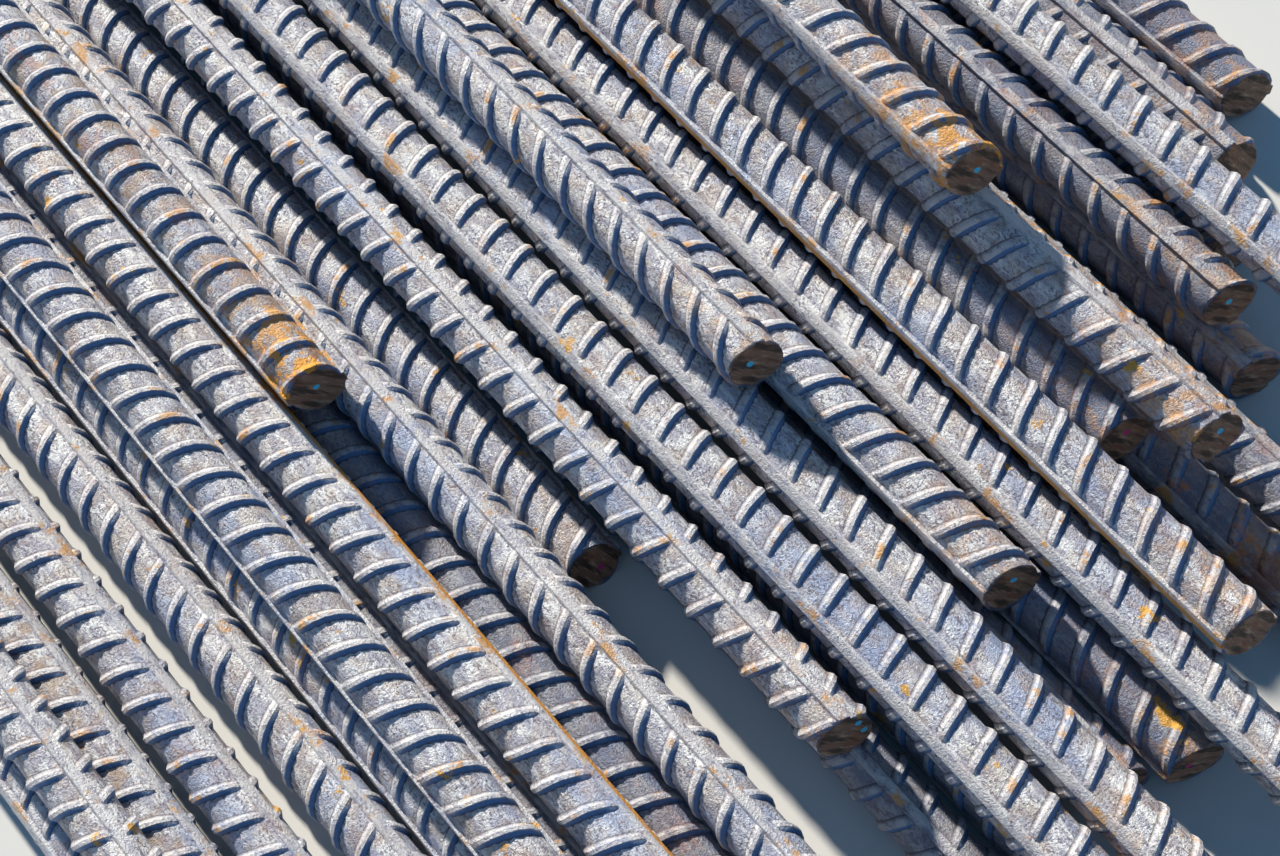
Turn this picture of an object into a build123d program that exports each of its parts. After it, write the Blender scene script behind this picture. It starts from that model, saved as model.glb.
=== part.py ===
"""Rebar bundle: a loose heap of hot-rolled deformed bars, all sheared to one stock length.

Frame: X runs along the bars, with the staggered near ends at +X, Z is up, and the floor is z = 0. The origin is
the middle of the bundle's footprint. Every bar is its own solid, written to its own file. A bar is laid down by
its sideways place alone: its height follows from the bars that it comes to rest on. The fine cross ribs aren't
modelled: behind its near end, where the true section shows, a bar is as thick as the circle over its ribs.
"""

import os
from dataclasses import dataclass
from math import asin, degrees, radians, sqrt, tan

from build123d import *

# Bar section (nominal 32 mm bar)
core_diameter = 31.0        # round core between the ribs
rib_height = 2.2            # cross ribs and lengthwise ribs stand this far above the core
long_rib_width = 5.0        # the two lengthwise ribs, on opposite sides

# Bar length and sheared ends
bar_length = 3000.0         # stock length, from tip to tip
plain_end = 20.0            # last stretch at the near end, which has no cross ribs
shear_lean = 18.0           # degrees by which the sheared faces lean from square
roll_over = 7.0             # radius to which the blade rolls the edge where it enters

# Stacking
bar_gap = 0.3               # clearance between bars that lie on each other
alongside_slack = 0.01      # bars this much closer than a pitch still lie side by side

over_ribs = core_diameter + 2 * rib_height
pitch = over_ribs + bar_gap


@dataclass
class Bar:
    """One bar of the bundle, with its near end towards +X.

    side is the place of its near end across the bundle in pitches, drift how much further towards +Y its far end
    lies, and set_back how far the near end lies behind the foremost one, in millimetres. rib_turn is the angle of
    one lengthwise rib from the top towards +Y, and cut_turn that of the side from which the blade came there.
    """

    name: str
    side: float
    set_back: float
    rib_turn: float
    cut_turn: float
    drift: float = 0.0


bars = [
    # on the floor
    Bar("lower_bar_01", -5.72, 45, -49, -20),
    Bar("lower_bar_02", -4.62, 80, 56, -45),
    Bar("lower_bar_03", -3.61, 20, 49, -30, drift=0.27),
    Bar("lower_bar_04", -2.33, 55, 36, -38),
    Bar("lower_bar_05", -1.32, 95, -79, -25),
    Bar("lower_bar_06", -0.32, 115, 30, -50),
    Bar("lower_bar_07", 1.04, 65, 81, -33),
    Bar("lower_bar_08", 2.76, 396, -79, -15),
    Bar("lower_bar_09", 3.77, 60, -4, -42),
    Bar("lower_bar_10", 4.78, 105, 60, -28),
    Bar("lower_bar_11", 6.20, 125, 15, -36),
    Bar("lower_bar_12", 7.21, 109, 81, -47),
    Bar("lower_bar_13", 8.59, 195, 70, -22),
    Bar("lower_bar_14", 10.02, 95, -49, -40),
    Bar("lower_bar_15", 11.03, 75, 31, -31),
    Bar("lower_bar_16", 12.04, 235, -15, -52),
    Bar("lower_bar_17", 13.37, 295, 60, -26),
    Bar("lower_bar_18", 14.38, 355, -60, -37),
    Bar("lower_bar_19", 15.39, 357, -69, -44),
    # on the lower bars
    Bar("middle_bar_01", -5.17, 5, 29, -32),
    Bar("middle_bar_02", -0.82, 30, -84, -48),
    Bar("middle_bar_03", 0.36, 0, 56, -27),
    Bar("middle_bar_04", 1.90, 40, 19, -39),
    Bar("middle_bar_05", 3.68, 230, 13, -38),
    Bar("middle_bar_06", 4.79, 15, -42, -24),
    Bar("middle_bar_07", 5.80, 50, -41, -43),
    Bar("middle_bar_08", 6.90, 231, -69, -30),
    Bar("middle_bar_09", 7.91, 5, -42, -35),
    Bar("middle_bar_10", 9.64, 250, -84, -34),
    Bar("middle_bar_11", 12.21, 266, -6, -46),
    Bar("middle_bar_12", 13.93, 322, 1, -29),
    # on the middle bars
    Bar("upper_bar_1", 1.30, 560, -84, -38),
    Bar("upper_bar_2", 6.34, 401, 21, -41),
    Bar("upper_bar_3", 8.72, 134, -69, -26),
    Bar("upper_bar_4", 10.36, 214, 24, -33),
    Bar("upper_bar_5", 13.10, 95, -50, -49),
    # across one of those
    Bar("top_bar", 10.42, 393, -57, -36, drift=1.85),
]


class LaidBar:
    """A bar lying level on its place, where x = 0 is the foremost near end."""

    def __init__(self, bar: Bar, below: list["LaidBar"]):
        self.bar = bar
        self.near = -bar.set_back
        self.far = self.near - sqrt(bar_length**2 - (bar.drift * pitch) ** 2)
        self.height = max([over_ribs / 2] + [self.height_on(other) for other in below])

    def side_at(self, x: float) -> float:
        """The bar's place across the bundle at one station, in millimetres."""
        return (self.bar.side + self.bar.drift * (self.near - x) / (self.near - self.far)) * pitch

    def height_on(self, other: "LaidBar") -> float:
        """The height at which this bar rests against another one; 0 for a bar too far aside to carry it."""
        shared = max(self.far, other.far), min(self.near, other.near)
        aside = [self.side_at(x) - other.side_at(x) for x in shared]
        nearest = 0.0 if min(aside) < 0 < max(aside) else min(map(abs, aside))
        clear = nearest > pitch - alongside_slack
        return 0.0 if clear else other.height + sqrt(pitch**2 - nearest**2)

    def solid(self) -> Part:
        """The bar's solid on its place."""
        skew = degrees(asin(self.bar.drift * pitch / bar_length))
        place = Pos(self.near, self.side_at(self.near), self.height) * Rot(0, 0, -skew)
        return place * bar_solid(self.bar)


def lay_down(bars: list[Bar]) -> list[LaidBar]:
    """Lay the bars down in turn, each as low as the floor and the bars before it allow."""
    laid: list[LaidBar] = []
    for bar in bars:
        laid.append(LaidBar(bar, laid))
    return laid


def bar_section() -> Sketch:
    """The section of the plain end: the core with one lengthwise rib at the top and one at the bottom."""
    long_ribs = Rectangle(long_rib_width, over_ribs) & Circle(over_ribs / 2)
    return Circle(core_diameter / 2) + long_ribs


def sheared_side_view() -> Sketch:
    """A bar seen from the side, with both ends sheared in the same lean and its near tip at x = 0.

    The blade enters the near end from above and the far end from below, and rolls that edge over.
    """
    run = over_ribs * tan(radians(shear_lean))
    top, bottom = over_ribs / 2, -over_ribs / 2
    outline = Polygon((0, bottom), (-run, top), (-bar_length, top), (run - bar_length, bottom), align=None)
    _, far_entry, near_entry, _ = outline.vertices().sort_by(Axis.X)
    return fillet([far_entry, near_entry], roll_over)


def bar_solid(bar: Bar) -> Part:
    """One bar along X with its near tip at x = 0: the true section at its plain near end, then the ribbed stretch."""
    plain = extrude(Plane.YZ * bar_section(), amount=-plain_end)
    ribbed = extrude(Plane.YZ.offset(-plain_end) * Circle(over_ribs / 2), amount=plain_end - bar_length)
    between_cuts = extrude(Plane.XZ * sheared_side_view(), amount=over_ribs / 2, both=True)
    return Rot(-bar.rib_turn, 0, 0) * (plain + ribbed) & Rot(-bar.cut_turn, 0, 0) * between_cuts


solids = {laid.bar.name: laid.solid() for laid in lay_down(bars)}
box = Compound(list(solids.values())).bounding_box()
to_origin = Pos(-box.center().X, -box.center().Y, -box.min.Z)

os.makedirs("parts", exist_ok=True)
for name, solid in solids.items():
    export_step(to_origin * solid, f"parts/{name}.step")
    print(f"{name}: {solid.volume / 1000:.0f} cm3, {len(solid.solids())} solid, valid {solid.is_valid}")
print(f"bundle: {box.size.X:.1f} x {box.size.Y:.1f} x {box.size.Z:.1f} mm")
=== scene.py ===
"""The looks of a rebar bundle: a loose heap of hot-rolled ribbed steel bars with sheared ends.

Each bar of the frame is replaced by a bar with its real relief: two lengthwise ribs, herringbone cross ribs,
a plain and roughly sheared near end, and the grey mill scale, dust and rust of bars stored outdoors.
"""

import logging
import math
import random
from dataclasses import dataclass
from enum import Enum

import bmesh
import bpy
from mathutils import Matrix, Vector, noise


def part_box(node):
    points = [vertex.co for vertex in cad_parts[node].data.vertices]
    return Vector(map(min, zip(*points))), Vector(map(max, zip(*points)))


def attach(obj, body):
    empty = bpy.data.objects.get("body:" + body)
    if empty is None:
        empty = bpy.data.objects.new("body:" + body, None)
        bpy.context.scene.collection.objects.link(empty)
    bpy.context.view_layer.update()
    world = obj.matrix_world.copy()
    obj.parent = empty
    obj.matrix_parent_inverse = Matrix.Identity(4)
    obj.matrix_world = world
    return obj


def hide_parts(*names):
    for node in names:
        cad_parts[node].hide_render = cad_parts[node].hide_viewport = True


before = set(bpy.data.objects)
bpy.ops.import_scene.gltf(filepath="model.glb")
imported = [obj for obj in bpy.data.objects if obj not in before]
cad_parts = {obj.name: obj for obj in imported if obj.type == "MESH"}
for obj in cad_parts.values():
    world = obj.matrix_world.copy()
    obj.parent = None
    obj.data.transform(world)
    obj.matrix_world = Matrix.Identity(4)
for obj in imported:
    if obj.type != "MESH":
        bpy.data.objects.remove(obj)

log = logging.getLogger("rebar_bundle")
MM = 0.001           # metres
ON_A_PLANE = 1e-7    # metres by which a vertex may lie off a cut and still be on it
SAME_DEPTH = 1e-3    # millimetres by which two depths may differ and still be one
SAME_WAY = 0.999     # cosine above which two directions are one


class Apex(Enum):
    """The way in which the arrow of the cross ribs points along the bar, at its top lengthwise rib."""

    NEAR = 1
    FAR = -1


class Tone(Enum):
    """How light, dusty and rusty a bar's mill scale is, as three amounts from 0 to 1. A low lightness is mostly
    painted shade: it coats a bar that lies in shade a dark bluish grey.
    """

    PALE = (0.88, 0.40, 0.10)
    GREY = (0.82, 0.40, 0.12)
    DUSTY = (0.74, 0.70, 0.25)
    # The two tones below have a low lightness, which paints the bar dark: painted shade for bars that lie in shade,
    # over a real difference in tone.
    DARK = (0.34, 0.18, 0.22)
    RUSTY = (0.20, 0.45, 0.70)


class Dot(Enum):
    """The colours of the marking paint on the sheared faces, as sRGB hex values."""

    CYAN = "#57d8ff"
    MAGENTA = "#e0309a"


Dab = tuple[Dot, float, float]  # a dab of that paint: its colour, and y and z from the bar's axis in millimetres


@dataclass(frozen=True)
class BarPlace:
    """One bar's place in the bundle and what tells it from its neighbours.

    node is its CAD node. rib_turn is the angle of one lengthwise rib from the top towards +Y and cut_turn that
    of the side from which the shear blade came, both in degrees. phase shifts its cross ribs, as a share of
    their spacing. drift is how much further towards +Y its far end lies, in millimetres. dots are the dabs of paint
    on its near face. end_rust is how rusty its near end is, and rust_line the angle from the top towards +Y of a
    rusty line along it. slant is how far its cross ribs lean from square, in degrees, and stagger how far those of
    one half lie ahead of the other's, in millimetres.
    """

    node: str
    rib_turn: float
    cut_turn: float
    apex: Apex
    tone: Tone
    phase: float = 0.5
    drift: float = 0.0
    dots: tuple[Dab, ...] = ()
    end_rust: float = 0.3
    rust_line: float | None = None
    slant: float = 24.0
    stagger: float = 3.0


BARS = (
    BarPlace("lower_bar_01", -49, -20, Apex.NEAR, Tone.GREY, 0.3),
    BarPlace("lower_bar_02", 56, -45, Apex.NEAR, Tone.DUSTY, 0.7),
    BarPlace("lower_bar_03", 49, -30, Apex.NEAR, Tone.GREY, 0.1, drift=9.6),
    BarPlace("lower_bar_04", 36, -38, Apex.FAR, Tone.PALE, 0.5),
    BarPlace("lower_bar_05", -79, -25, Apex.NEAR, Tone.GREY, 0.9),
    BarPlace("lower_bar_06", 30, -50, Apex.NEAR, Tone.DARK, 0.2),
    BarPlace("lower_bar_07", 81, -33, Apex.NEAR, Tone.DARK, 0.6),
    BarPlace("lower_bar_08", -79, -15, Apex.NEAR, Tone.GREY, 0.4, dots=((Dot.MAGENTA, 3, -4),), end_rust=0.15),
    BarPlace("lower_bar_09", -4, -42, Apex.NEAR, Tone.DARK, 0.8),
    BarPlace("lower_bar_10", 60, -28, Apex.FAR, Tone.DARK, 0.15),
    BarPlace("lower_bar_11", 15, -36, Apex.NEAR, Tone.DARK, 0.55),
    BarPlace("lower_bar_12", 81, -47, Apex.FAR, Tone.DARK, 0.35, dots=((Dot.MAGENTA, -4, 3),)),
    BarPlace("lower_bar_13", 70, -22, Apex.NEAR, Tone.RUSTY, 0.75),
    BarPlace("lower_bar_14", -49, -40, Apex.NEAR, Tone.RUSTY, 0.05),
    BarPlace("lower_bar_15", 31, -31, Apex.NEAR, Tone.DARK, 0.45),
    BarPlace("lower_bar_16", -15, -52, Apex.FAR, Tone.DARK, 0.85),
    BarPlace("lower_bar_17", 60, -26, Apex.NEAR, Tone.DARK, 0.25),
    BarPlace("lower_bar_18", -60, -37, Apex.FAR, Tone.DARK, 0.65),
    BarPlace("lower_bar_19", -69, -44, Apex.FAR, Tone.DARK, 0.0),
    BarPlace("middle_bar_01", 29, -32, Apex.NEAR, Tone.PALE, 0.4),
    BarPlace("middle_bar_02", -84, -48, Apex.FAR, Tone.GREY, 0.6),
    BarPlace("middle_bar_03", 56, -27, Apex.NEAR, Tone.PALE, 0.2, end_rust=0.8, rust_line=64),
    BarPlace("middle_bar_04", 19, -39, Apex.FAR, Tone.PALE, 0.8),
    BarPlace("middle_bar_05", 13, -38, Apex.NEAR, Tone.PALE, 0.3, dots=((Dot.CYAN, 9, 5), (Dot.CYAN, 10, -3)),
             stagger=7),
    BarPlace("middle_bar_06", -42, -24, Apex.NEAR, Tone.GREY, 0.7, slant=17),
    BarPlace("middle_bar_07", -41, -43, Apex.NEAR, Tone.PALE, 0.1),
    BarPlace("middle_bar_08", -69, -30, Apex.FAR, Tone.GREY, 0.5, dots=((Dot.CYAN, 2, 5),)),
    BarPlace("middle_bar_09", -42, -35, Apex.NEAR, Tone.PALE, 0.9),
    BarPlace("middle_bar_10", -84, -34, Apex.NEAR, Tone.DARK, 0.35, dots=((Dot.MAGENTA, 2, 4),)),
    BarPlace("middle_bar_11", -6, -46, Apex.FAR, Tone.DARK, 0.55, dots=((Dot.CYAN, 0, 3),)),
    BarPlace("middle_bar_12", 1, -29, Apex.NEAR, Tone.DARK, 0.15),
    BarPlace("upper_bar_1", -84, -38, Apex.FAR, Tone.DUSTY, 0.75, dots=((Dot.CYAN, 1, 2),), end_rust=0.9, slant=12),
    BarPlace("upper_bar_2", 21, -41, Apex.FAR, Tone.PALE, 0.45, dots=((Dot.CYAN, -3, 3),), slant=32),
    BarPlace("upper_bar_3", -69, -26, Apex.NEAR, Tone.PALE, 0.25, end_rust=0.3, rust_line=-75),
    BarPlace("upper_bar_4", 24, -33, Apex.NEAR, Tone.GREY, 0.65, dots=((Dot.CYAN, 2, 4),), end_rust=0.5, rust_line=70),
    BarPlace("upper_bar_5", -50, -49, Apex.NEAR, Tone.GREY, 0.85, slant=19),
    BarPlace("top_bar", -57, -36, Apex.FAR, Tone.GREY, 0.05, drift=66.0, dots=((Dot.CYAN, 2, 1),), end_rust=0.8),
)


def linear(hex_colour: str) -> tuple[float, float, float, float]:
    """Turn an sRGB hex colour into the linear values that a shader takes.

    Args:
        hex_colour: A colour such as "#a0b1c2".

    Returns:
        Red, green, blue and an alpha of 1.
    """
    parts = [int(hex_colour[i:i + 2], 16) / 255 for i in (1, 3, 5)]
    values = [c / 12.92 if c <= 0.04045 else ((c + 0.055) / 1.055) ** 2.4 for c in parts]
    return (values[0], values[1], values[2], 1.0)


def per_metre(size_mm: float) -> float:
    """The scale at which a pattern's features are about size_mm wide, since objects are in metres."""
    return 1.0 / (size_mm * MM)


def add_node(owner: bpy.types.Material | bpy.types.World, kind: str, values: dict | None = None,
             **settings: object) -> bpy.types.Node:
    """Add one shader node.

    Args:
        owner: The material or world that gets the node.
        kind: The node's type, such as "ShaderNodeTexNoise".
        values: Input name or number to its value, or to the output socket that feeds it.
        **settings: The node's own settings, such as blend_type.

    Returns:
        The new node.
    """
    tree = owner.node_tree
    node = tree.nodes.new(kind)
    for name, value in settings.items():
        setattr(node, name, value)
    for key, value in (values or {}).items():
        if isinstance(value, bpy.types.NodeSocket):
            tree.links.new(value, node.inputs[key])
        else:
            node.inputs[key].default_value = value
    return node


@dataclass(frozen=True)
class Patches:
    """Irregular patches, such as those of dust, rust or wear, in Object coordinates.

    size_mm is their rough width. The noise value where they begin and the one where they are full set how much
    they cover and how soft their rims are. stretch makes them longer along the bars, and shift, in metres, sets
    two patterns of one size apart. follow names the mesh's own coordinates that take the place of Object ones.
    """

    size_mm: float
    begin: float
    full: float
    detail: float = 4.0
    roughness: float = 0.6
    stretch: float = 1.0
    shift: float = 0.0
    follow: str = ""

    def mask(self, material: bpy.types.Material) -> bpy.types.NodeSocket:
        """Add the pattern to a material.

        Args:
            material: The material that gets it.

        Returns:
            Its output, 1 inside the patches and 0 outside.
        """
        if self.follow:
            place = add_node(material, "ShaderNodeAttribute", attribute_name=self.follow).outputs["Vector"]
        else:
            place = add_node(material, "ShaderNodeTexCoord").outputs["Object"]
        mapping = add_node(material, "ShaderNodeMapping", {
            "Vector": place, "Location": (self.shift, self.shift, self.shift),
            "Scale": (1.0 / self.stretch, 1.0, 1.0)})
        texture = add_node(material, "ShaderNodeTexNoise", {
            "Vector": mapping.outputs[0], "Scale": per_metre(self.size_mm), "Detail": self.detail,
            "Roughness": self.roughness})
        step = add_node(material, "ShaderNodeMapRange", {
            "Value": texture.outputs[0], "From Min": self.begin, "From Max": self.full},
            interpolation_type="SMOOTHSTEP")
        return step.outputs[0]


class Weathering:
    """The coats of one material, laid over each other as they came onto the steel."""

    def __init__(self, name: str, first_colour: str) -> None:
        """Start a material with its bare colour.

        Args:
            name: The material's name.
            first_colour: The colour under all coats, as an sRGB hex value.
        """
        self.material = bpy.data.materials.new(name)
        self.material.use_nodes = True
        self.material.node_tree.nodes.clear()
        self.colour: object = linear(first_colour)

    def amount(self, name: str, begin: float = 0.0, full: float = 1.0) -> bpy.types.NodeSocket:
        """Read one of the mesh's own numbers, such as how rusty a bar is.

        Args:
            name: The attribute's name.
            begin: The number that counts as 0.
            full: The number that counts as 1.

        Returns:
            The output, from 0 to 1.
        """
        number = add_node(self.material, "ShaderNodeAttribute", attribute_name=name)
        step = add_node(self.material, "ShaderNodeMapRange", {
            "Value": number.outputs["Fac"], "From Min": begin, "From Max": full})
        return step.outputs[0]

    def coat(self, colour: str, *where: object) -> None:
        """Lay a colour over what is there, in the places where all the masks in where are up.

        Args:
            colour: The coat's sRGB hex colour.
            *where: Patches, outputs from 0 to 1, or plain numbers.
        """
        cover: object = 1.0
        for part in where:
            mask = part.mask(self.material) if isinstance(part, Patches) else part
            product = add_node(self.material, "ShaderNodeMath", {0: cover, 1: mask}, operation="MULTIPLY")
            cover = product.outputs[0]
        mix = add_node(self.material, "ShaderNodeMix", {0: cover, 6: self.colour, 7: linear(colour)},
                       data_type="RGBA")
        self.colour = mix.outputs[2]

    def done(self, grit: Patches, relief_mm: float, metallic: float, roughness: float) -> bpy.types.Material:
        """Give the coats their gloss and fine relief.

        Args:
            grit: The pattern of the fine relief.
            relief_mm: How high its grains stand.
            metallic: The share of bare metal in the surface.
            roughness: How matt it is.

        Returns:
            The finished material.
        """
        bump = add_node(self.material, "ShaderNodeBump", {
            "Height": grit.mask(self.material), "Strength": 1.0, "Distance": relief_mm * MM})
        shader = add_node(self.material, "ShaderNodeBsdfPrincipled", {
            "Base Color": self.colour, "Metallic": metallic, "Roughness": roughness, "Normal": bump.outputs[0]})
        add_node(self.material, "ShaderNodeOutputMaterial", {"Surface": shader.outputs[0]})
        return self.material


@dataclass(frozen=True)
class MillScale:
    """Hot-rolled steel under its mill scale, stored outdoors.

    The oxide gives a half-matt, faintly lavender grey with paler rubbed patches, a bluish bloom, dark pits and tan
    dust in the hollows. The rib crests are rubbed pale, with an ochre bloom. The steep flanks of the cross ribs that
    face the near end, away from the key lamp, are coated deep blue as painted shade. A dark line along the feet of
    the ribs is painted shade and dirt. Bars of a dark tone are coated a dark bluish grey and get less of the pale
    crest coat, which is painted shade for bars that lie in shade. Rust breaks out in brown and ochre patches that
    differ from bar to bar, most at the near ends.
    """

    def build(self) -> bpy.types.Material:
        """Build the material.

        Returns:
            The material, which reads the numbers that RibbedBar.weather writes.
        """
        steel = Weathering("hot_rolled_mill_scale", "#b2b0bc")
        steel.coat("#efedec", Patches(6, 0.44, 0.57, detail=7, roughness=0.75, stretch=2.2))
        steel.coat("#8fa2c8", Patches(40, 0.47, 0.68, detail=3, stretch=3, shift=1), 0.7)
        # Painted shade: bars of a dark tone are coated a dark bluish grey, for the shade that they lie in.
        steel.coat("#3e4c6a", steel.amount("light", 0.9, 0.0))
        # The real pits are 0.2 to 0.5 mm wide, and are drawn 1.5 mm wide so that they show.
        steel.coat("#625d6b", Patches(1.5, 0.52, 0.60, detail=2, stretch=1.5, shift=2),
                   Patches(13, 0.30, 0.56, detail=3, shift=7), 0.8)
        hollow, crest = steel.amount("relief", 0.6, 0.0), steel.amount("relief", 0.2, 0.6)
        steel.coat("#a88d72", Patches(14, 0.44, 0.64, detail=5, shift=3), hollow, steel.amount("dust"))
        # Bars of a dark tone get less of this pale crest coat, as part of their painted shade.
        steel.coat("#cecacb", Patches(5, 0.36, 0.60, detail=4, stretch=2, shift=5), crest,
                   steel.amount("light", -0.4, 0.6))
        steel.coat("#cf9340", Patches(24, 0.56, 0.64, detail=5, roughness=0.7, shift=31), crest, 0.8)
        # Painted shade: the flanks that face the near end, away from the key lamp, are coated deep blue.
        steel.coat("#3474ae", steel.amount("lee", 0.42, 0.60), 0.9)
        # Painted shade and dirt: a dark line along the feet of the ribs.
        steel.coat("#33303a", steel.amount("crease", 0.35, 0.75), 0.85)
        rust = steel.amount("rust")
        steel.coat("#7d4322", Patches(38, 0.52, 0.62, detail=7, roughness=0.7, stretch=1.5, shift=9), rust)
        steel.coat("#c8742c", Patches(21, 0.57, 0.66, detail=7, roughness=0.7, stretch=1.5, shift=11), rust)
        end, line = steel.amount("end_stain", 0.05, 0.8), steel.amount("line_stain", 0.5, 0.7)
        steel.coat("#93664a", Patches(11, 0.46, 0.62, detail=7, roughness=0.75, shift=21), end)
        steel.coat("#e09a2c", Patches(13, 0.50, 0.56, detail=6, roughness=0.72, shift=23), end)
        steel.coat("#dc9428", Patches(10, 0.28, 0.46, detail=5, roughness=0.75, stretch=4, shift=25), line, 0.95)
        steel.coat("#dba136", Patches(26, 0.64, 0.68, detail=6, roughness=0.68, shift=13), 0.9)
        # The grains of the scale are finer than a tenth of a millimetre, and are drawn 1.4 mm wide so that they show.
        return steel.done(Patches(1.4, 0.2, 0.8, detail=3, roughness=0.75), 0.6, metallic=0.1, roughness=0.45)


@dataclass(frozen=True)
class ShearedSteel:
    """The torn face that a shear blade leaves: brown with rust, coarse and dull, scored with dark drag lines.

    paint is the colour of the marking paint on it, if any. The mesh's own coordinates drag run across and along the
    blade's way. dab_1 and dab_2 are the place relative to the middle of a dab of paint, in dab radii. The rim of a
    dab is soft from dab_rim_begin to dab_rim_end of its radius.
    """

    paint: Dot | None = None
    dab_rim_begin: float = 0.9
    dab_rim_end: float = 1.1

    def build(self) -> bpy.types.Material:
        """Build the material.

        Returns:
            The material, which reads the coordinates that ShearedEnd.mark writes.
        """
        suffix = f"_with_{self.paint.name.lower()}_paint" if self.paint else ""
        face = Weathering("sheared_steel_face" + suffix, "#8a6a54")
        face.coat("#c4a68c", Patches(2.5, 0.48, 0.66, detail=7, roughness=0.75, follow="drag"))
        face.coat("#9a5a38", Patches(9, 0.52, 0.66, detail=5, shift=4), 0.7)
        face.coat("#3a2d25", Patches(5, 0.48, 0.62, detail=6, shift=6, follow="drag"))
        for name in ("dab_1", "dab_2") if self.paint else ():
            place = add_node(face.material, "ShaderNodeAttribute", attribute_name=name)
            reach = add_node(face.material, "ShaderNodeVectorMath", {0: place.outputs["Vector"]}, operation="LENGTH")
            inside = add_node(face.material, "ShaderNodeMapRange", {
                "Value": reach.outputs["Value"], "From Min": self.dab_rim_end, "From Max": self.dab_rim_begin})
            face.coat(self.paint.value, inside.outputs[0])
        # The drag lines are 0.1 to 0.3 mm wide, and are drawn 1.6 mm wide so that they show.
        grit = Patches(1.6, 0.2, 0.8, detail=5, roughness=0.7, follow="drag")
        return face.done(grit, 1.1, metallic=0.1, roughness=0.6)


@dataclass
class CrossRibs:
    """The cross ribs on one half of a bar, between its two lengthwise ribs. Sizes are in millimetres and degrees.

    side is +1 for the half towards +Y of a bar whose lengthwise rib is at the top, and -1 for the other one. slant
    is how far the ribs lean from square. profile holds x, towards the near end, and radius of a rib's corners: a
    ramp, the crest and a steep flank. A cross rib is a crescent, which dies out towards the lengthwise ribs, the
    later the smaller fullness is. start_angle is where it begins, from the middle of the top rib, and steps the
    number of stretches in its sweep. spare_ribs are those past each end of the bar, which its phase brings in.
    """

    side: int
    apex: Apex
    slant: float
    core_radius: float = 15.4
    crest_radius: float = 17.7
    profile: tuple[tuple[float, float], ...] = ((-5.6, 15.0), (-1.5, 17.7), (0.8, 17.7), (1.3, 17.2), (4.8, 15.0))
    fullness: float = 0.6
    spacing: float = 21.5
    start_angle: float = 5.0
    steps: int = 8
    spare_ribs: int = 4

    def one(self) -> bpy.types.Mesh:
        """Sweep one rib, from x = 0 beside the top rib round to the bottom rib.

        Returns:
            Its mesh, closed, with the edges along it sharp.
        """
        bm = bmesh.new()
        sweep = math.radians(180 - 2 * self.start_angle)
        advance = self.core_radius * math.tan(math.radians(self.slant)) * sweep / self.steps
        start = Matrix.Rotation(-self.side * math.radians(self.start_angle), 3, "X")
        verts = [bm.verts.new(start @ Vector((x * MM, 0, r * MM))) for x, r in self.profile]
        face = bm.faces.new(verts)
        bmesh.ops.spin(bm, geom=[face, *face.edges, *verts], cent=(0, 0, 0), axis=(-self.side, 0, 0),
                       dvec=(-self.apex.value * advance * MM, 0, 0), angle=sweep, steps=self.steps,
                       use_merge=False, use_normal_flip=False, use_duplicate=False)
        bmesh.ops.recalc_face_normals(bm, faces=bm.faces)
        angle = {v: abs(math.degrees(math.atan2(v.co.y, v.co.z))) for v in bm.verts}
        for edge in bm.edges:
            first, last = edge.verts
            edge.smooth = abs(angle[first] - angle[last]) < 1
        for v in bm.verts:
            radius = math.hypot(v.co.y, v.co.z) / MM
            if radius > self.core_radius:
                height = math.sin(math.radians(angle[v])) ** self.fullness
                lower = (self.core_radius + (radius - self.core_radius) * height) / radius
                v.co.y, v.co.z = v.co.y * lower, v.co.z * lower
        mesh = bpy.data.meshes.new("cross_rib")
        bm.to_mesh(mesh)
        bm.free()
        return mesh

    def stretch(self, length: float) -> bpy.types.Mesh:
        """Repeat the rib over a whole bar, a little past both its ends.

        Args:
            length: The bar's length in metres.

        Returns:
            One mesh with all of them.
        """
        rib = self.one()
        bm = bmesh.new()
        for step in range(-self.spare_ribs, int(length / (self.spacing * MM)) + self.spare_ribs):
            first = len(bm.verts)
            bm.from_mesh(rib)
            bm.verts.ensure_lookup_table()
            bmesh.ops.translate(bm, vec=(-step * self.spacing * MM, 0, 0), verts=bm.verts[first:])
        mesh = bpy.data.meshes.new(f"cross_ribs_{self.side}_{self.apex.name.lower()}_{self.slant:.0f}")
        bm.to_mesh(mesh)
        bm.free()
        return mesh


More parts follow.
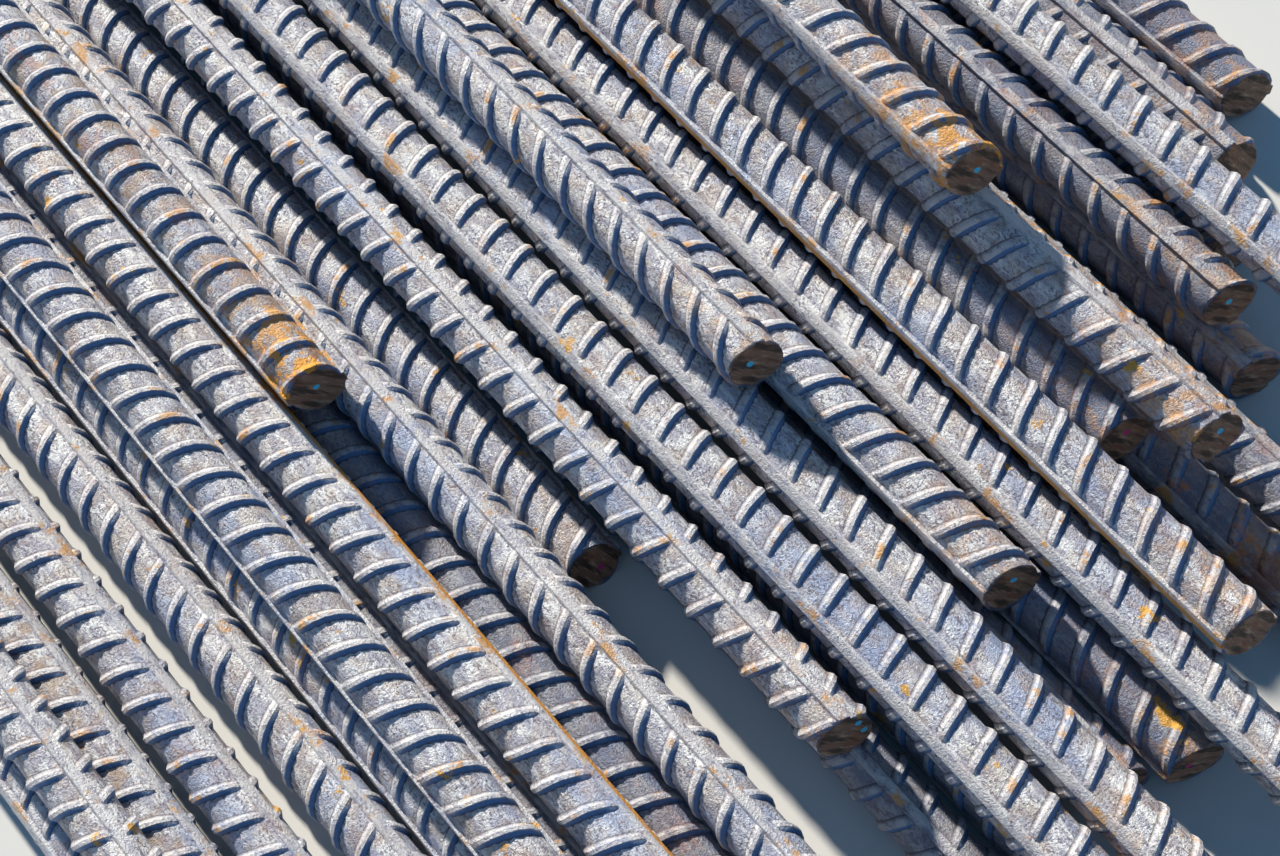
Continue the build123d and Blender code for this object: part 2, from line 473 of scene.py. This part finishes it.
@dataclass
class ShearedEnd:
    """A bar's end as a shear leaves it: a leaning face, rolled over where the blade entered and burred opposite.

    facing is +1 for the near end and -1 for the far one, tip the x of the face's foremost point in metres, and
    blade_turn the angle from the top towards +Y of the side from which the blade came. The other sizes are in
    millimetres and degrees.

    The edge is rolled over by rolled_depth, and bends over rolled_length. The burr begins burr_begin of the radius
    away from the axis, is burr_length long and reaches burr_reach behind the face. burr_fullness is its mean share
    of that length, and burr_grain and tear_grain say how fine its rags and the tear are, in lumps per metre. The
    face is torn by up to tear, over a net of cuts, and lies recess behind its place, so that no grain of it stands
    out of the bar's own length. Its rim is rounded by rim_bevel. bend_loops and stain_loops are cuts behind it, which
    the rolled edge bends along and the rust of the end fades along. Its drag lines are drag_stretch times as long as
    wide. face_depth is more than the face leans back by, and unpainted is a place far from any dab of paint.
    """

    facing: int
    tip: float
    blade_turn: float
    lean: float = 18.0
    over_ribs_radius: float = 17.7
    rolled_length: float = 4.0
    rolled_depth: float = 1.0
    burr_length: float = 1.4
    burr_reach: float = 2.0
    rim_bevel: float = 0.5
    tear: float = 0.9
    recess: float = 0.6
    net: float = 2.4
    burr_begin: float = 0.5
    burr_fullness: float = 0.45
    burr_grain: float = 350.0
    tear_grain: float = 170.0
    bend_loops: tuple[float, ...] = (1.4, 2.4, 4.0)
    stain_loops: tuple[float, ...] = (20.0, 45.0, 80.0, 130.0, 200.0)
    drag_stretch: float = 7.0
    face_depth: float = 60.0
    unpainted: float = 99.0

    def blade(self) -> Vector:
        """The direction towards the side from which the blade came."""
        turn = math.radians(self.blade_turn)
        return Vector((0, math.sin(turn), math.cos(turn)))

    def across(self) -> Vector:
        """The direction across the blade's way."""
        return Vector((1, 0, 0)).cross(self.blade())

    def normal(self) -> Vector:
        """The way in which the face looks."""
        return (Vector((self.facing, 0, 0)) + self.blade() * math.tan(math.radians(self.lean))).normalized()

    def point(self, behind: float = 0.0) -> Vector:
        """A point that lies in the face, or some millimetres behind it along the bar."""
        return Vector((self.tip - self.facing * behind * MM, 0, 0)) - self.blade() * self.over_ribs_radius * MM

    def cut(self, bm: bmesh.types.BMesh, behind: float, off: bool) -> list[bmesh.types.BMEdge]:
        """Cut the bar parallel to the face.

        Args:
            bm: The bar.
            behind: How far behind the face the cut lies, in millimetres.
            off: Whether what is past the cut comes off.

        Returns:
            The edges of the cut.
        """
        made = bmesh.ops.bisect_plane(bm, geom=[*bm.verts, *bm.edges, *bm.faces], dist=ON_A_PLANE, clear_outer=off,
                                      plane_co=self.point(behind), plane_no=self.normal())
        return [e for e in made["geom_cut"] if isinstance(e, bmesh.types.BMEdge)]

    def close(self, bm: bmesh.types.BMesh, rim: list[bmesh.types.BMEdge]) -> None:
        """Fill the cut with a torn face that has a slightly rounded rim.

        Args:
            bm: The bar, open at this end.
            rim: The edges of the opening.
        """
        face = bmesh.ops.contextual_create(bm, geom=rim)["faces"][0]
        bmesh.ops.recalc_face_normals(bm, faces=bm.faces)
        bmesh.ops.bevel(bm, geom=list(face.edges), offset=self.rim_bevel * MM, offset_type="OFFSET",
                        affect="EDGES", segments=2, profile=0.5, material=-1, clamp_overlap=True)
        bm.normal_update()
        torn = [f for f in bm.faces if f.normal.dot(self.normal()) > SAME_WAY]
        reach = int(self.over_ribs_radius / self.net)
        for way in (self.blade(), self.across()):
            for step in range(-reach, reach + 1):
                edges = {e for f in torn for e in f.edges}
                verts = {v for f in torn for v in f.verts}
                made = bmesh.ops.bisect_plane(bm, geom=[*torn, *edges, *verts], dist=ON_A_PLANE, plane_no=way,
                                              plane_co=way * (step + 0.5) * self.net * MM)
                torn = [f for f in made["geom"] if isinstance(f, bmesh.types.BMFace)]
        for face in torn:
            face.material_index = 1

    def loosen(self, bm: bmesh.types.BMesh) -> None:
        """Cut the loops behind the face that its rolled edge bends along, and those that its rust fades along."""
        for behind in (*self.bend_loops, *self.stain_loops):
            self.cut(bm, behind, off=False)

    def shape(self, bm: bmesh.types.BMesh, seed: float) -> None:
        """Roll the edge over at the blade's side, draw out a burr opposite and tear the face.

        Args:
            bm: The bar, with its cross ribs.
            seed: Where in the noise this end's pattern comes from.
        """
        blade, normal, start = self.blade(), self.normal(), self.point()
        slope = normal.x * self.facing
        for v in bm.verts:
            behind = (start - v.co).dot(normal) / slope / MM
            if behind > self.rolled_length:
                continue
            u = v.co.dot(blade) / (self.over_ribs_radius * MM)
            if abs(behind - self.recess) < SAME_DEPTH:
                v.co.x += noise.noise(v.co * self.tear_grain + Vector((seed, seed, 0))) * self.tear * MM
            if u > 0:
                v.co -= blade * (self.rolled_depth * MM * u * u * (1 - max(behind, 0) / self.rolled_length) ** 2)
            elif u < -self.burr_begin and behind < self.burr_reach:
                ragged = self.burr_fullness + noise.noise(v.co * self.burr_grain + Vector((0, seed, seed)))
                fading = (1 - max(behind, 0) / self.burr_reach) * (-u - self.burr_begin) / (1 - self.burr_begin)
                v.co -= blade * (self.burr_length * MM * ragged * fading)
                over = max(math.hypot(v.co.y, v.co.z) / (self.over_ribs_radius * MM), 1.0)
                v.co.y, v.co.z = v.co.y / over, v.co.z / over

    def mark(self, bm: bmesh.types.BMesh, dots: tuple[Dab, ...], dab_radius: float) -> None:
        """Write the face's own coordinates for its drag lines and its dabs of paint.

        Args:
            bm: The bar.
            dots: The dabs of paint, two at most.
            dab_radius: How wide they are, in millimetres from the middle.
        """
        names = ("drag", "dab_1", "dab_2")
        drag, *dabs = (bm.verts.layers.float_vector.get(n) or bm.verts.layers.float_vector.new(n) for n in names)
        for v in {v for f in bm.faces if f.material_index == 1 for v in f.verts}:
            if (v.co.x - self.tip) * self.facing < -self.face_depth * MM:
                continue
            v[drag] = (v.co.dot(self.across()), v.co.dot(self.blade()) / self.drag_stretch, v.co.x / self.drag_stretch)
            for layer, dot in zip(dabs, [*dots, None, None]):
                place = Vector((0, self.unpainted, self.unpainted))
                if dot:
                    place = Vector((0, v.co.y / MM - dot[1], v.co.z / MM - dot[2]))
                v[layer] = place / dab_radius


@dataclass
class RibbedBar:
    """One bar of the bundle, from its section to its place. Sizes are in millimetres and angles in degrees.

    The core has a number of sides, and its lengthwise ribs are long_rib_foot wide to each side at the core and
    long_rib_top at the top, whose edges lie less than top_depth below it. The bar is built spare longer at both ends,
    until the shear cuts it. Edges bent by more than sharp_angle, in radians, stay sharp. The cross ribs waver by up to
    waver, in waves of which waver_scale make a metre, and end cross_rib_recess behind the sheared face. The near end
    is stained over stained_length, and a rusty line is stained_angle wide to each side. What lies crease_depth below
    the core's surface is the foot of a rib. seeds are the ends of the range from which a bar's own noise starts.
    """

    place: BarPlace
    length: float = 3000.0
    core_radius: float = 15.4
    sides: int = 20
    long_rib_height: float = 17.35
    long_rib_foot: float = 3.5
    long_rib_top: float = 3.0
    long_rib_bevel: float = 0.4
    top_depth: float = 0.1
    spare: float = 12.0
    dab_radius: float = 1.9
    sharp_angle: float = 0.62
    waver: float = 0.8
    waver_scale: float = 60.0
    stained_length: float = 130.0
    stained_angle: float = 22.0
    crease_depth: float = 0.2
    cross_rib_recess: float = 0.2
    seeds: tuple[float, float] = (0.0, 50.0)

    def core(self) -> bmesh.types.BMesh:
        """Make the round core with a lengthwise rib at its top and one at its bottom.

        Returns:
            The core, open and a little too long.
        """
        bm = bmesh.new()
        upright = Matrix.Rotation(math.radians(90), 4, "Y") @ Matrix.Rotation(math.pi / self.sides, 4, "Z")
        start = Matrix.Translation((self.spare * MM, 0, 0))
        bmesh.ops.create_circle(bm, cap_ends=False, radius=self.core_radius * MM, segments=self.sides,
                                matrix=start @ upright)
        for v in bm.verts:
            if abs(v.co.y) < self.long_rib_foot * MM:
                v.co.y = math.copysign(self.long_rib_foot * MM, v.co.y)
                v.co.z = math.copysign(math.sqrt(self.core_radius ** 2 - self.long_rib_foot ** 2) * MM, v.co.z)
        swept = bmesh.ops.extrude_edge_only(bm, edges=bm.edges)["geom"]
        bmesh.ops.translate(bm, vec=(-(self.length + 2 * self.spare) * MM, 0, 0),
                            verts=[v for v in swept if isinstance(v, bmesh.types.BMVert)])
        for side in (1, -1):
            strip = [f for f in bm.faces if abs(f.calc_center_median().y) < MM and f.calc_center_median().z * side > 0]
            ridge = bmesh.ops.extrude_face_region(bm, geom=strip)["geom"]
            for v in ridge:
                if isinstance(v, bmesh.types.BMVert):
                    v.co.y, v.co.z = math.copysign(self.long_rib_top * MM, v.co.y), side * self.long_rib_height * MM
            bmesh.ops.delete(bm, geom=[f for f in strip if f.is_valid], context="FACES_ONLY")
        top = (self.long_rib_height - self.top_depth) * MM
        edges = [e for e in bm.edges if min(abs(v.co.z) for v in e.verts) > top
                 and e.calc_length() > self.length * MM]
        bmesh.ops.bevel(bm, geom=edges, offset=self.long_rib_bevel * MM, offset_type="OFFSET", affect="EDGES",
                        segments=2, profile=0.5, material=-1)
        return bm

    def onto_node(self) -> Matrix:
        """Find the way from the bar's own axis, with its near tip at x = 0, to its node in the bundle.

        Returns:
            The turn and shift. A drifting bar has its near end at its node's low side, and any other one is centred.
        """
        low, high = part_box(self.place.node)
        radius = (high.z - low.z) / 2
        skew = math.asin(self.place.drift / self.length)
        near_x = low.x + self.length * MM * math.cos(skew)
        near_y = low.y + radius if self.place.drift else (low.y + high.y) / 2
        return Matrix.Translation((near_x, near_y, low.z + radius)) @ Matrix.Rotation(-skew, 4, "Z")

    def weather(self, bm: bmesh.types.BMesh) -> None:
        """Write the numbers that the mill scale reads: its relief, the flanks facing away from the key lamp and the
        feet of the ribs, which get painted shade, its tone, whose dark end is painted shade, and its stains.

        Args:
            bm: The bar, with its cross ribs and its ends shaped, before it is put on its node.
        """
        names = ("relief", "lee", "crease", "light", "dust", "rust", "end_stain", "line_stain")
        relief, lee, crease, light, dust, rust, end_stain, line_stain = (bm.verts.layers.float.new(n) for n in names)
        bm.normal_update()
        for v in bm.verts:
            radius = math.hypot(v.co.y, v.co.z) / MM
            # Painted shade: how far a face looks towards the near end, away from the key lamp.
            v[lee] = max(0.0, v.normal.x)
            v[relief] = (radius - self.core_radius) / (CrossRibs.crest_radius - self.core_radius)
            # Painted shade and dirt: 1 at the buried feet of the ribs, for a dark line along them.
            v[crease] = 1.0 if radius < self.core_radius - self.crease_depth else 0.0
            # A dark tone here is painted shade for the bars that lie in shade.
            v[light], v[dust], v[rust] = self.place.tone.value
            v[end_stain] = self.place.end_rust * max(0.0, 1 + v.co.x / self.stained_length / MM)
            if self.place.rust_line is not None:
                aside = math.degrees(math.atan2(v.co.y, v.co.z)) - self.place.rust_line
                v[line_stain] = max(0.0, 1 - abs(aside) / self.stained_angle)

    def build(self, ribs: dict[int, bpy.types.Mesh], steel: bpy.types.Material,
              face: bpy.types.Material) -> bpy.types.Object:
        """Model the bar and dress it.

        Args:
            ribs: The cross ribs of a whole bar, by the side that they are on.
            steel: The material of the rolled surface.
            face: The material of the sheared faces.

        Returns:
            The bar's object, riding on the bundle in place of its node.
        """
        seed = random.Random(self.place.node).uniform(*self.seeds)
        ends = (ShearedEnd(1, 0.0, self.place.cut_turn),
                ShearedEnd(-1, -self.length * MM, self.place.cut_turn + 180))
        turn = Matrix.Rotation(-math.radians(self.place.rib_turn), 4, "X")
        bm = self.core()
        bm.transform(turn)
        for end in ends:
            end.close(bm, end.cut(bm, end.recess, off=True))
            end.loosen(bm)
        for edge in bm.edges:
            if len(edge.link_faces) == 2 and edge.calc_face_angle(0) > self.sharp_angle:
                edge.smooth = False
        bmesh.ops.recalc_face_normals(bm, faces=bm.faces)
        cross = bmesh.new()
        for side, half in ribs.items():
            first = len(cross.verts)
            cross.from_mesh(half)
            cross.verts.ensure_lookup_table()
            ahead = side * self.place.stagger / 2 - self.place.phase * CrossRibs.spacing
            bmesh.ops.translate(cross, vec=(ahead * MM, 0, 0), verts=cross.verts[first:])
        for v in cross.verts:
            v.co.x += noise.noise(v.co * self.waver_scale + Vector((seed, seed, seed))) * self.waver * MM
        cross.transform(turn)
        for end in ends:
            cut = end.cut(cross, end.recess + self.cross_rib_recess, off=True)
            bmesh.ops.holes_fill(cross, edges=cut, sides=0)
        whole = bpy.data.meshes.new(self.place.node + "_steel")
        cross.to_mesh(whole)
        cross.free()
        bm.from_mesh(whole)
        for end in ends:
            end.shape(bm, seed)
            end.mark(bm, self.place.dots if end.facing > 0 else (), self.dab_radius)
        self.weather(bm)
        for f in bm.faces:
            f.smooth = True
        bm.transform(self.onto_node())
        bm.to_mesh(whole)
        bm.free()
        whole.materials.append(steel)
        whole.materials.append(face)
        bar = bpy.data.objects.new(self.place.node + "_steel", whole)
        bpy.context.scene.collection.objects.link(bar)
        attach(bar, "root")
        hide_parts(self.place.node)
        return bar


@dataclass
class Studio:
    """A plain pale floor, one low soft key lamp beyond the bars' far ends, a bluish fill and the camera.

    floor_size and key_distance are in metres, and the key's softness, height and heading in degrees. eye, look and
    up place the camera at the photograph's viewing angle, in metres, and lens is in millimetres on a sensor of
    sensor_width.
    """

    floor_size: float = 40.0
    floor_colour: str = "#dcd9d4"
    backdrop_colour: str = "#d3deea"
    fill_colour: str = "#5590c4"
    fill_strength: float = 0.52
    key_colour: str = "#fffaee"
    key_strength: float = 7.5
    key_softness: float = 2.5
    key_height: float = 24.0
    key_heading: float = 171.0
    key_distance: float = 8.0
    eye: tuple[float, float, float] = (1.7447, -0.1726, 1.106)
    look: tuple[float, float, float] = (-0.3492, 0.1433, -0.926)
    up: tuple[float, float, float] = (-0.6823, 0.6384, 0.3561)
    lens: float = 60.0
    sensor_width: float = 36.0

    def lay_floor(self) -> bpy.types.Object:
        """Lay the floor, which isn't part of the object.

        Returns:
            The floor.
        """
        bm = bmesh.new()
        bmesh.ops.create_grid(bm, x_segments=1, y_segments=1, size=self.floor_size / 2)
        mesh = bpy.data.meshes.new("studio_floor")
        bm.to_mesh(mesh)
        bm.free()
        paper = bpy.data.materials.new("studio_paper")
        paper.use_nodes = True
        paper.node_tree.nodes.clear()
        shader = add_node(paper, "ShaderNodeBsdfPrincipled", {
            "Base Color": linear(self.floor_colour), "Roughness": 0.9})
        add_node(paper, "ShaderNodeOutputMaterial", {"Surface": shader.outputs[0]})
        mesh.materials.append(paper)
        floor = bpy.data.objects.new("studio_floor", mesh)
        bpy.context.scene.collection.objects.link(floor)
        return floor

    def light(self) -> None:
        """Add the key lamp, and a world that fills the shadows and looks pale in the background."""
        lamp = bpy.data.lights.new("key", "SUN")
        lamp.energy = self.key_strength
        lamp.angle = math.radians(self.key_softness)
        lamp.color = linear(self.key_colour)[:3]
        key = bpy.data.objects.new("key", lamp)
        bpy.context.scene.collection.objects.link(key)
        rise, heading = math.radians(self.key_height), math.radians(self.key_heading)
        towards = Vector((math.cos(rise) * math.cos(heading), math.cos(rise) * math.sin(heading), math.sin(rise)))
        turn = towards.to_track_quat("Z", "Y").to_matrix().to_4x4()
        key.matrix_world = Matrix.Translation(towards * self.key_distance) @ turn
        world = bpy.data.worlds.new("studio_world")
        bpy.context.scene.world = world
        world.use_nodes = True
        world.node_tree.nodes.clear()
        fill = add_node(world, "ShaderNodeBackground", {
            "Color": linear(self.fill_colour), "Strength": self.fill_strength})
        backdrop = add_node(world, "ShaderNodeBackground", {
            "Color": linear(self.backdrop_colour), "Strength": 1.0})
        ray = add_node(world, "ShaderNodeLightPath")
        seen = add_node(world, "ShaderNodeMath", {
            0: ray.outputs["Is Camera Ray"], 1: ray.outputs["Is Glossy Ray"]}, operation="MAXIMUM")
        seen = add_node(world, "ShaderNodeMath", {
            0: seen.outputs[0], 1: ray.outputs["Is Transmission Ray"]}, operation="MAXIMUM")
        mix = add_node(world, "ShaderNodeMixShader", {0: seen.outputs[0], 1: fill.outputs[0], 2: backdrop.outputs[0]})
        add_node(world, "ShaderNodeOutputWorld", {"Surface": mix.outputs[0]})

    def set_camera(self) -> None:
        """Add the camera at the photograph's viewing angle."""
        data = bpy.data.cameras.new("camera")
        data.lens, data.sensor_width = self.lens, self.sensor_width
        camera = bpy.data.objects.new("camera", data)
        bpy.context.scene.collection.objects.link(camera)
        back, up = -Vector(self.look).normalized(), Vector(self.up).normalized()
        right = up.cross(back).normalized()
        turn = Matrix((right, back.cross(right), back)).transposed().to_4x4()
        camera.matrix_world = Matrix.Translation(self.eye) @ turn
        bpy.context.scene.camera = camera
        bpy.context.scene.view_settings.view_transform = "Standard"


def main() -> None:
    """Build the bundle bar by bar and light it."""
    logging.basicConfig(level=logging.INFO, format="%(message)s")
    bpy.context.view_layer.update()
    steel = MillScale().build()
    faces = {paint: ShearedSteel(paint).build() for paint in (None, *Dot)}
    patterns = {(place.apex, place.slant) for place in BARS}
    ribs = {(apex, slant): {side: CrossRibs(side, apex, slant).stretch(RibbedBar.length * MM) for side in (1, -1)}
            for apex, slant in sorted(patterns, key=lambda p: (p[0].value, p[1]))}
    for place in BARS:
        face = faces[place.dots[0][0] if place.dots else None]
        bar = RibbedBar(place).build(ribs[place.apex, place.slant], steel, face)
        log.info("%s: %d faces", bar.name, len(bar.data.polygons))
    studio = Studio()
    studio.lay_floor()
    studio.light()
    studio.set_camera()


if __name__ == "__main__":
    main()
